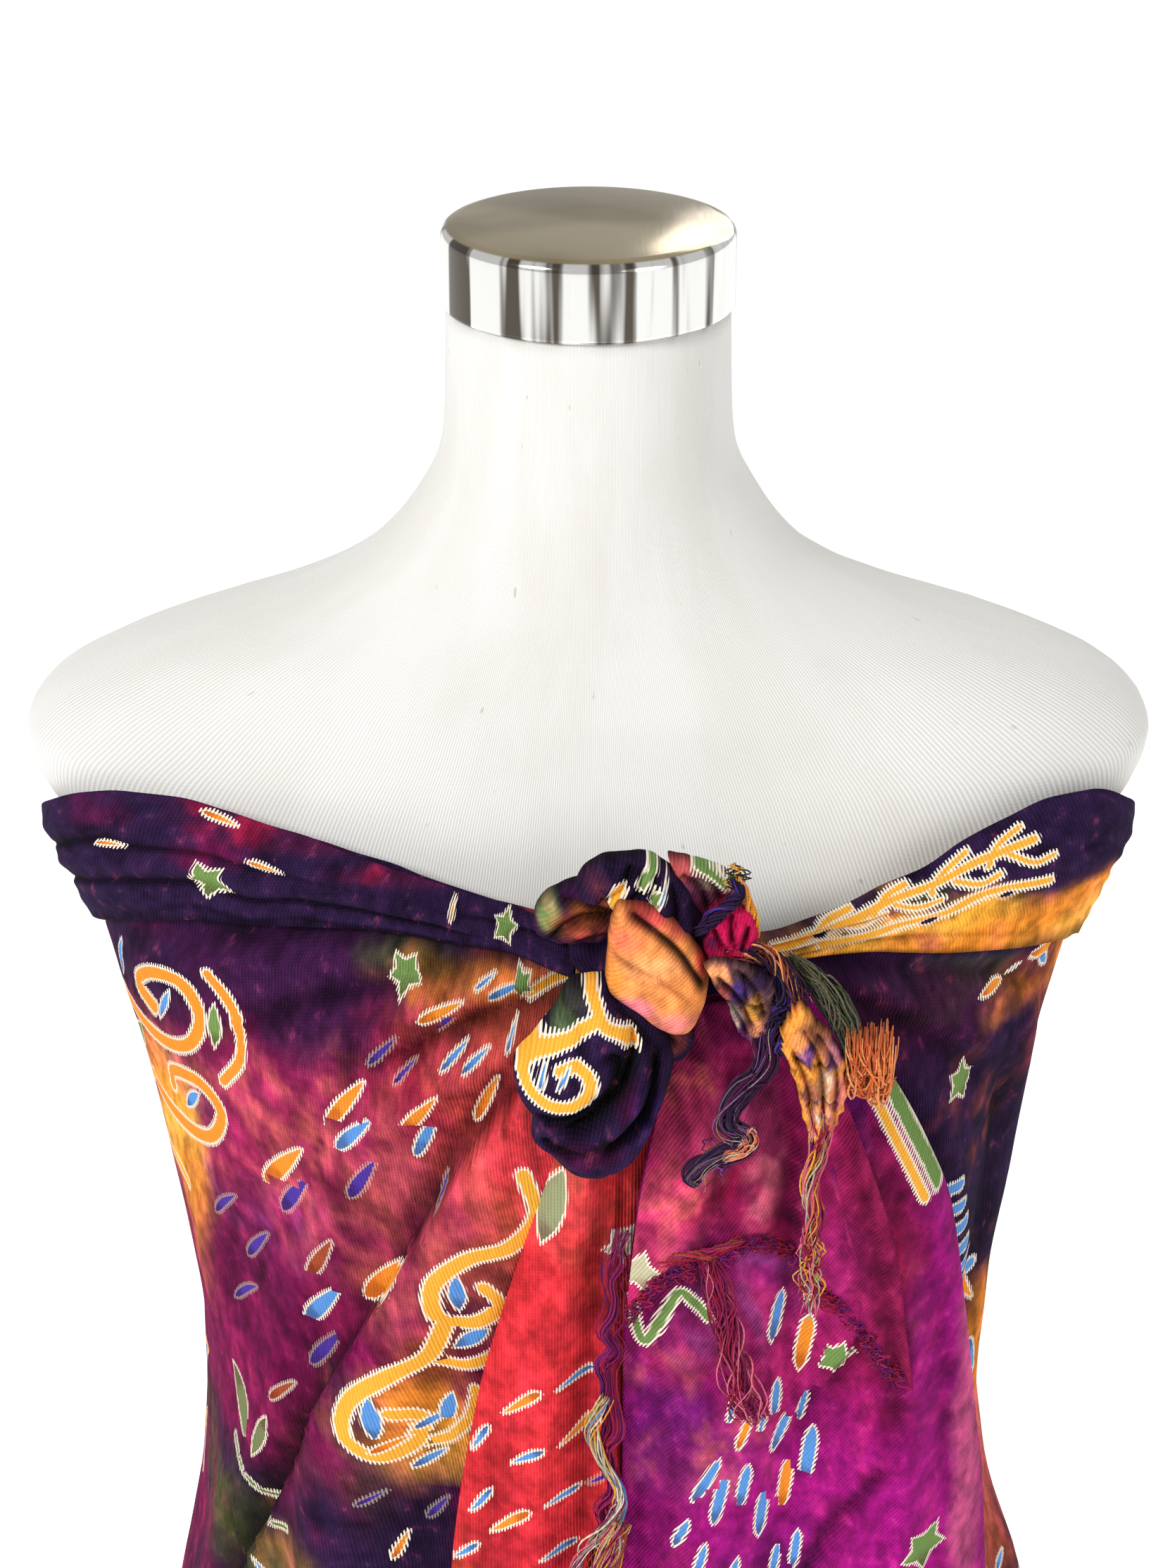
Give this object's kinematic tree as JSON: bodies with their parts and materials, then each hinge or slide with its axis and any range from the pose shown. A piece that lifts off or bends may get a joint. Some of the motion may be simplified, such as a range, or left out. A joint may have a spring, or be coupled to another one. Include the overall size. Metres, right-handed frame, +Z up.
{
  "type": "sarong on a limbless dress form",
  "caption": "Frayed-end sarong wound round a limbless dress form and knotted at the bust, with long folds hanging from the knot, on a pole stand with a round base.",
  "frame": {"origin": "on the floor, at the middle of the round base's underside", "axes": "+Z up along the pole, -Y towards the front where the knot is, +X to the right seen from the front"},
  "size_m": [0.4538, 0.3575, 1.56],
  "materials": {
    "form_cover": "matt white ribbed knit stretched over the form",
    "chrome": "polished",
    "violet_cloth": "matt tie-dyed and printed rayon, violet stretch",
    "night_cloth": "matt tie-dyed and printed rayon, navy stretch",
    "red_cloth": "matt tie-dyed and printed rayon, red stretch",
    "magenta_cloth": "matt tie-dyed and printed rayon, magenta stretch",
    "apricot_cloth": "matt tie-dyed and printed rayon, apricot stretch",
    "yarn": "frayed and looped yarn of the cloth's ends"
  },
  "bodies": {
    "root": {"form_torso": "form_cover", "neck_cap": "chrome", "form_pole": "chrome", "form_base": "chrome", "wrap_left": "violet_cloth", "wrap_right": "night_cloth", "top_band_left": "night_cloth", "top_band_right": "night_cloth", "fall_left": "red_cloth", "fall_right": "magenta_cloth", "fall_flap": "magenta_cloth", "knot_core": "night_cloth", "knot_crown": "night_cloth", "knot_band": "apricot_cloth", "knot_loop": "night_cloth", "knot_bud": "magenta_cloth", "tail_curl": "yarn", "tail_long": "yarn", "tail_tassel": "yarn", "end_fringe": "yarn"}
  },
  "joints": []
}
